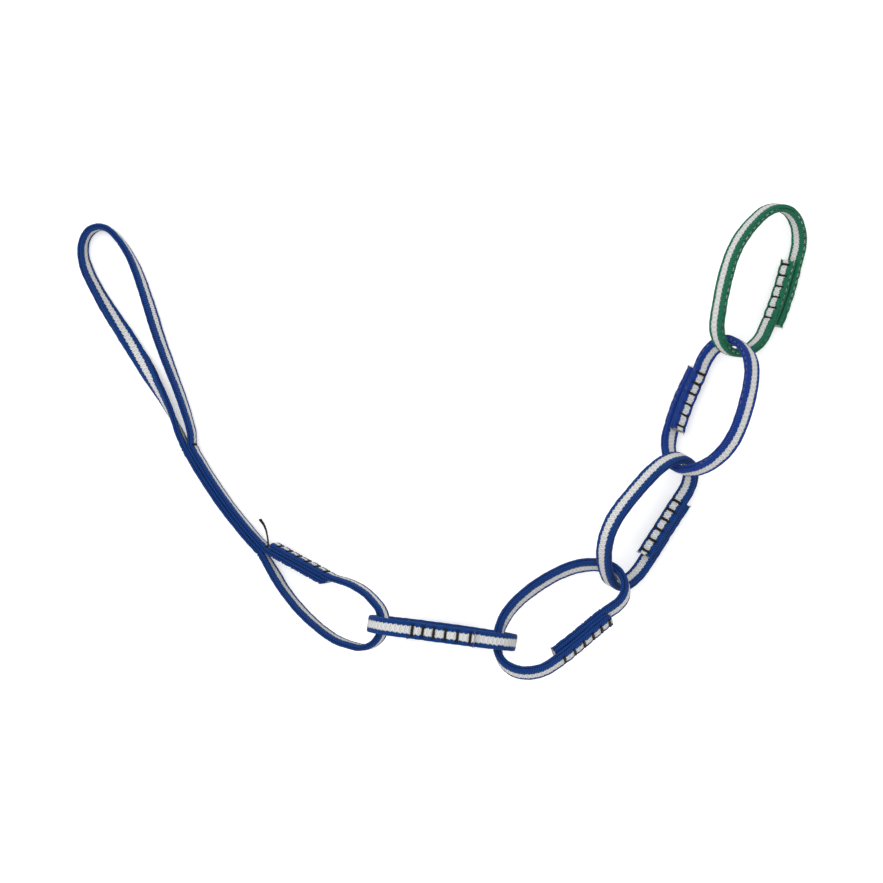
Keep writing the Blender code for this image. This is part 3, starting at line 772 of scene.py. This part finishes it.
def tack_mesh(name, place, thickness, seed):
    """The two bars of a tack in its place: the zigzag on each face and the core under it."""
    chance = np.random.default_rng(seed)
    level = thickness + SEAM_GAP / 2 - TACK_PRESS + FACE_CROWN + THREAD_STAND
    turns = np.arange(TACK_STITCHES + 1)
    tubes = []
    for side in (1, -1):
        aside = TACK_WIDTH / 2 - THREAD_RADIUS + chance.uniform(*RAGGED_ENDS, len(turns))
        aside = aside * np.where(turns % 2, 1, -1)
        across = (turns / TACK_STITCHES - 0.5) * TACK_LENGTH
        across = across + chance.uniform(-RAGGED_STEP, RAGGED_STEP, len(turns))
        path = []
        for k in range(TACK_STITCHES):
            for u in STITCH_STATIONS:
                x = aside[k] + (aside[k + 1] - aside[k]) * u
                y = across[k] + (across[k + 1] - across[k]) * u
                dip = STITCH_DIP if u == 0 else -STITCH_ARCH * math.sin(math.pi * u)
                path.append((x, y, side * (level - dip)))
        sunk = side * thickness * SUNK_SHARE
        path = [(*path[0][:2], sunk), *path, (*path[-1][:2], sunk)]
        tubes.append(tube_rings(path, THREAD_RADIUS, THREAD_SIDES))
        spots = np.linspace(-CORE_REACH, CORE_REACH, CORE_STEPS) * TACK_LENGTH
        core = [(0, y, side * (level - CORE_DROP)) for y in spots]
        tubes.append(tube_rings(core, CORE_RADIUS, CORE_SIDES, CORE_SQUASH))
    mesh = joined_tubes(name, tubes)
    mesh.transform(place)
    return mesh


# Black bonded thread: a twist of fine plies, with a dull shine along them
PLY_RELIEF = 0.00008
thread_look = {
    "grain": 3100.0, "dark": BLACK, "light": BLACK_LIGHT, "light_from": 0.45, "light_to": 0.75,
    "matt_to": 1.1, "matt_from": -0.1,
}
black_thread = grouped_material(
    "black_bonded_thread", bare_fibres, thread_look, PLY_RELIEF, 1.0, {"Specular IOR Level": 0.25}
)
for k, (name, place) in enumerate(sling_seams.items()):
    mesh = tack_mesh(name + "_thread", place, SLING_THICKNESS, SLING_TACK_SEED + k)
    piece_of(name + "_thread", mesh, (black_thread,), "sling", "black_thread", name)

# ---- Loose thread end ---------------------------------------------------------------------------
# Where the sewing stopped, at the chain eye's tack, a short end of the same thread was left. It
# stands off to the left, bows a little, and its plies open towards the blunt cut.
TAIL_LENGTH = 0.0188
TAIL_HEADING_DEG = 109.0
TAIL_RADIUS = 0.0005
TAIL_START_HEIGHT, TAIL_DROP = 0.0025, 0.005
# Its course, as shares of its length ahead and to the right, and of its drop
TAIL_SHARES = (
    (0.0, 0.0, 0.0), (0.25, 0.064, 0.1), (0.54, 0.096, 0.4), (0.76, 0.080, 0.7), (1.0, 0.0, 1.0),
)
TAIL_STEPS, TAIL_SMOOTHING = 60, 4
TAIL_PLIES, TAIL_TWISTS = 3, 9
PLY_SPREAD, PLY_OPENING = 0.0003, 0.0005
PLY_RADIUS, PLY_SWELLING, PLY_SIDES = 0.00034, 0.00014, 7
# Two stitches join it to the tack, each leaning its own way
KNOT_LEANS, KNOT_LEAN_SIZE = (-0.3, 0.4), 0.0006
KNOT_DEPTH, KNOT_HEIGHT, KNOT_RADIUS, KNOT_STEPS = 0.0006, 0.0019, 0.00026, 6

tail_along = Matrix.Rotation(math.radians(TAIL_HEADING_DEG), 3, "Z") @ EAST * TAIL_LENGTH
tail_right = tail_along.cross(UP)
point, along, left, width = strap_place(chain_tack_run)
tail_start = point + CHAIN_SHIFT + width * TAIL_START_HEIGHT
tail_start += left * (SLING_THICKNESS + SEAM_GAP / 2 + SEAT_GAP + TAIL_RADIUS)
fine = np.linspace(0, 1, TAIL_STEPS + 1)
smooth = np.ones(2 * TAIL_SMOOTHING + 1) / (2 * TAIL_SMOOTHING + 1)
eased = []
for shares in np.array(TAIL_SHARES).T:
    shares = np.interp(fine, np.linspace(0, 1, len(shares)), shares)
    shares = np.pad(shares, TAIL_SMOOTHING, "reflect", reflect_type="odd")
    eased.append(np.convolve(shares, smooth, "valid"))
tail_path = np.array(tail_start)[None] + np.outer(eased[0], tail_along)
tail_path = tail_path + np.outer(eased[1], tail_right) - np.outer(eased[2] * TAIL_DROP, UP)
tail_side = np.array(tail_right.normalized())
plies = []
for ply in range(TAIL_PLIES):
    angle = fine * TAIL_TWISTS * math.tau + ply * math.tau / TAIL_PLIES
    spread = PLY_SPREAD + PLY_OPENING * fine**3
    twist = np.cos(angle)[:, None] * tail_side + np.sin(angle)[:, None] * np.array(UP)
    radii = PLY_RADIUS + PLY_SWELLING * fine**2
    plies.append(tube_rings(tail_path + twist * spread[:, None], radii, PLY_SIDES))
for lean in KNOT_LEANS:
    foot = point + CHAIN_SHIFT + left * (SLING_THICKNESS - KNOT_DEPTH)
    foot = np.array(foot + width * (KNOT_HEIGHT + KNOT_LEAN_SIZE * lean))
    knot = []
    for u in np.linspace(0, 1, KNOT_STEPS + 1):
        aside = np.array(along) * KNOT_LEAN_SIZE * lean * math.sin(math.pi * u)
        knot.append(foot + (tail_path[2] - foot) * u + aside)
    plies.append(tube_rings(knot, KNOT_RADIUS, PLY_SIDES))
mesh = joined_tubes("thread_tail_plies", plies)
piece_of("thread_tail_plies", mesh, (black_thread,), "sling", "black_thread", "thread_tail")

# ---- Sewn links ---------------------------------------------------------------------------------
# Five loops of thicker webbing, each closed by a straight lap with six bar tacks and hooked through
# the loop before it. Four are edged with blue, the fourth a brighter blue, and the end link with
# green. As they lie, their two sides bow a little, each in its own way.
LINK_THICKNESS = 0.0052
LOOP_LENGTH = 0.256
BEND_RADIUS = 0.021
LINK_LAP_MARGIN = 0.00225
CHAIN_LAYER = LINK_THICKNESS + SEAM_GAP
COURSE_TOLERANCE = SEAM_GAP / 1000
BEARING_SHARE = 0.86
# Heading, rise and roll of each link's plane
LINK_LIE_DEG = {
    "link_1": (-8.4, -10.6, -94.1), "link_2": (37.7, -14.3, -33.5), "link_3": (59.9, 0.3, 48.6),
    "link_4": (67.6, -0.8, 120.3), "link_5": (65.7, -5.4, 41.7),
}
BULGE_SHARES = {"link_1": 0.967, "link_2": 0.724, "link_3": 0.895, "link_4": 1.038, "link_5": 0.267}
TURNED_LINKS = ("link_5",)
# Bow and lean of the lapped side, then of the free side, and how far the lap slides along
LINK_BOW_SHARES = {
    "link_1": (-0.014, 0.044, -0.029, 0.079, -0.205),
    "link_2": (-0.040, -0.256, -0.133, -0.071, 0.173),
    "link_3": (-0.020, -0.052, -0.068, -0.270, 0.217),
    "link_4": (0.148, -0.342, -0.114, -0.127, 0.160),
    "link_5": (0.250, 0.070, 0.134, -0.203, -0.018),
}
BOW_POWER = 1.5
LINK_TURN_DEG = {"link_1": 0.4, "link_2": -2.6, "link_3": 2.7, "link_4": 2.3, "link_5": -5.0}
LINK_CURLS = {"link_2": 0.0013}
LINK_EDGE_REACH = 0.0051
LINK_WEB_SEED, LINK_FRAY_SEED, LINK_TACK_SEED = 60, 80, 100
# Edge colours, each with a lighter tone of painted highlight, and the green also with a darker tone
# of painted shade
ROYAL_BLUE, ROYAL_HIGHLIGHT = (0.001, 0.042, 0.34), (0.003, 0.10, 0.52)
GREEN, GREEN_HIGHLIGHT, GREEN_SHADE = (0.0008, 0.165, 0.08), (0.004, 0.32, 0.17), (0.001, 0.05, 0.02)
ROYAL_YARN, GREEN_YARN = (0.002, 0.05, 0.36), (0.002, 0.19, 0.09)


def link_course(bulge):
    """A link's web in its own plane, from its inner to its outer cut end.

    With it go half the spacing of its bights, and the start and direction of its lap."""
    low, high = bulge, LOOP_LENGTH / 2
    while high - low > COURSE_TOLERANCE:
        half = (low + high) / 2
        depth = (half**2 - bulge**2) / (2 * bulge)
        meet = math.atan2(depth, half)
        radius = math.hypot(half, depth) + BEND_RADIUS
        around = 2 * half + (math.pi + 2 * meet) * BEND_RADIUS + (math.pi - 2 * meet) * radius
        low, high = (half, high) if around < LOOP_LENGTH else (low, half)
    slant = math.asin(CHAIN_LAYER / (2 * half))
    along = Vector((math.cos(slant), -math.sin(slant)))
    outward = Vector((-math.sin(slant), -math.cos(slant)))
    lap_angle = math.atan2(outward.y, outward.x)
    lap = tack_runs(LINK_LAP_MARGIN)[1]
    start = outward * BEND_RADIUS - along * lap / 2
    steps = math.ceil(lap / RING_SPACING)
    laid = [start + along * lap * k / steps for k in range(steps + 1)]
    course = [spot - outward * CHAIN_LAYER / 2 for spot in laid]
    for centre, bend, begin, end in (
        (Vector((half, 0)), BEND_RADIUS, lap_angle, meet),
        (Vector((0, -depth)), radius, meet, math.pi - meet),
        (Vector((-half, 0)), BEND_RADIUS, math.pi - meet, lap_angle + math.tau),
    ):
        turn = end - begin
        count = math.ceil(turn * bend / RING_SPACING)
        spoke = Vector((bend, 0))
        for k in range(count):
            course.append(centre + Matrix.Rotation(begin + turn * (k + 1) / count, 2) @ spoke)
    course += [spot + outward * CHAIN_LAYER / 2 for spot in laid[1:]]
    return np.array(course), half, (start, along)


def bowed(spots, half, bow):
    """A link's plain course after its sides have bowed and its lap has slid along.

    Its two bights stay hooked. With it goes the direction out of the loop at each point."""
    lap_bow, lap_lean, free_bow, free_lean, slide = bow
    share = np.clip(spots[:, 0] / (half + BEND_RADIUS), -1, 1)
    slack = (1 - share**2) ** BOW_POWER
    lapped = spots[:, 1] < 0
    swell = np.where(lapped, lap_bow + lap_lean * share, free_bow + free_lean * share) * slack
    slid = slide * np.clip(-spots[:, 1], 0, BEND_RADIUS) * slack
    spots = np.stack((spots[:, 0] + slid, spots[:, 1] * (1 + swell)), 1)
    ahead = unit(np.gradient(spots, axis=0))
    return spots, np.stack((ahead[:, 1], -ahead[:, 0]), 1)


def bearing_distance(inner_a, inner_b, square_a, square_b):
    """Distance between the middles of two bights, of these inner radii, that bear on each other."""
    crossing = square_a.cross(square_b).length
    reach = BEARING_SHARE * WEB_WIDTH / 2 * (1 + abs(square_a.dot(square_b))) / crossing
    return math.sqrt(inner_a**2 - reach**2) + math.sqrt(inner_b**2 - reach**2) - SEAT_GAP


link_web = web_material("blue_edged_link_web", LINK_EDGE_REACH)
royal_web = web_material(
    "royal_blue_edged_web", LINK_EDGE_REACH, edge_colour=ROYAL_BLUE, edge_light=ROYAL_HIGHLIGHT,
    groove_flecks=0.22, flecks=0.08,
)
green_web = web_material(
    "green_edged_web", LINK_EDGE_REACH, edge_colour=GREEN, edge_light=GREEN_HIGHLIGHT,
    edge_dark=GREEN_SHADE, groove_flecks=0.75, flecks=0.2,
)
link_webs = {
    "link_4": (royal_web, yarn_material("frayed_royal_blue_yarn", ROYAL_YARN), "royal_blue_web"),
    "link_5": (green_web, yarn_material("frayed_green_yarn", GREEN_YARN), "green_web"),
}
lap_runs = tack_runs(LINK_LAP_MARGIN)[0]
hook_middle, hook_along, hook_square = bight_middle, eye_along, eye_square
hook_inner, link_inner = CHAIN_EYE_BEND - SLING_THICKNESS / 2, BEND_RADIUS - LINK_THICKNESS / 2
for number, (name, lie_deg) in enumerate(LINK_LIE_DEG.items()):
    # Its inner bight bears on the outer bight of the loop before it
    along, across, square = plane_axes(*lie_deg)
    course, half, (seam_start, seam_along) = link_course(BULGE_SHARES[name] * BEND_RADIUS)
    pull = hook_square.cross(square).normalized()
    pull = pull if pull.dot(hook_along) > 0 else -pull
    bearing = bearing_distance(hook_inner, link_inner, hook_square, square)
    middle = hook_middle + pull * bearing + along * half
    hook_middle, hook_along, hook_square = middle + along * half, along, square
    hook_inner = link_inner
    # Its plane turns a little about the line through its bights
    turn = Matrix.Rotation(math.radians(LINK_TURN_DEG[name]), 3, along)
    across, square = turn @ across, turn @ square
    plane = Matrix((-along if name in TURNED_LINKS else along, across, square)).transposed()
    flat = np.array(plane)[:, :2]
    bow = LINK_BOW_SHARES[name]
    spots, outward = bowed(course, half, bow)
    squares = np.repeat(np.array(square)[None], len(course), 0)
    lie = spots @ flat.T + np.array(middle + CHAIN_SHIFT), outward @ flat.T, squares
    # Each bar tack stands square to the seam where it is sewn
    places = []
    for run in lap_runs:
        steps = (-RING_SPACING, 0, RING_SPACING)
        trio = np.array([seam_start + seam_along * (run + step) for step in steps])
        spots, outward = bowed(trio, half, bow)
        spot, out = (plane @ Vector((*pair[1], 0)) for pair in (spots, outward))
        places += seam_places((middle + spot, square.cross(out), out), (0,))
    material, yarn, slot = link_webs.get(name, (link_web, blue_yarn, "blue_web"))
    curl = LINK_CURLS.get(name, 0.0)
    mesh = web_mesh(name + "_web", lie, LINK_THICKNESS, places, LINK_WEB_SEED + number, curl)
    piece_of(name + "_web", mesh, (material, cut_core), name, slot, name + "_webbing")
    mesh = fray_mesh(name + "_fray", lie, LINK_THICKNESS, LINK_FRAY_SEED + number)
    piece_of(name + "_fray", mesh, (yarn,), name, slot)
    for k, place in enumerate(places):
        tack = "%s_tack_%d" % (name, k + 1)
        mesh = tack_mesh(tack + "_thread", place, LINK_THICKNESS, LINK_TACK_SEED + 10 * number + k)
        piece_of(tack + "_thread", mesh, (black_thread,), name, "black_thread", tack)

# ---- Table and light ----------------------------------------------------------------------------
# A broad white table under soft light: a large lamp above, and an even white sky all round. The
# bowed links dip a little, and the table lies just under the lowest of them.
TABLE_REACH, TABLE_TOP = 3.0, -0.0011
TABLE_TONE, TABLE_ROUGHNESS, TABLE_GLOW = 0.8, 0.9, 0.3
LAMP_PLACE = Vector((-0.55, 0.35, 1.9))
LAMP_SIZE, LAMP_WATTS = 1.6, 15
SKY_STRENGTH = 0.76
WHITE_PAINT = (1, 1, 1, 1)

mesh = bpy.data.meshes.new("table")
corners = [(x * TABLE_REACH, y * TABLE_REACH, 0) for x, y in ((-1, -1), (1, -1), (1, 1), (-1, 1))]
mesh.from_pydata(corners, [], [(0, 1, 2, 3)])
table = bpy.data.objects.new("table", mesh)
table.location.z = TABLE_TOP
bpy.context.collection.objects.link(table)
# Seen directly it is pure white but for the shadow, and it lights the chain as white card does
white_table = bpy.data.materials.new("white_table")
white_table.use_nodes = True
tree = white_table.node_tree
shader = tree.nodes["Principled BSDF"]
shader.inputs["Roughness"].default_value = TABLE_ROUGHNESS
shader.inputs["Specular IOR Level"].default_value = 0.0
shader.inputs["Emission Strength"].default_value = TABLE_GLOW
seen = tree.nodes.new("ShaderNodeLightPath").outputs
card = Shading(tree)
seen_white = card.sum("MAXIMUM", seen["Is Camera Ray"], seen["Is Glossy Ray"])
seen_white = card.sum("MAXIMUM", seen_white, seen["Is Transmission Ray"])
card.feed(shader.inputs["Base Color"], card.mix(seen_white, (*[TABLE_TONE] * 3, 1), WHITE_PAINT))
card.feed(shader.inputs["Emission Color"], card.mix(seen_white, (0, 0, 0, 1), WHITE_PAINT))
table.data.materials.append(white_table)

lamp = bpy.data.objects.new("softbox", bpy.data.lights.new("softbox", "AREA"))
lamp.data.shape = "DISK"
lamp.data.size = LAMP_SIZE
lamp.data.energy = LAMP_WATTS
lamp.location = LAMP_PLACE
lamp.rotation_euler = (-LAMP_PLACE).to_track_quat("-Z", "Y").to_euler()
bpy.context.collection.objects.link(lamp)
world = bpy.data.worlds.new("studio")
world.use_nodes = True
sky = world.node_tree.nodes["Background"].inputs
sky["Color"].default_value = WHITE_PAINT
sky["Strength"].default_value = SKY_STRENGTH
bpy.context.scene.world = world
bpy.context.scene.view_settings.view_transform = "Standard"
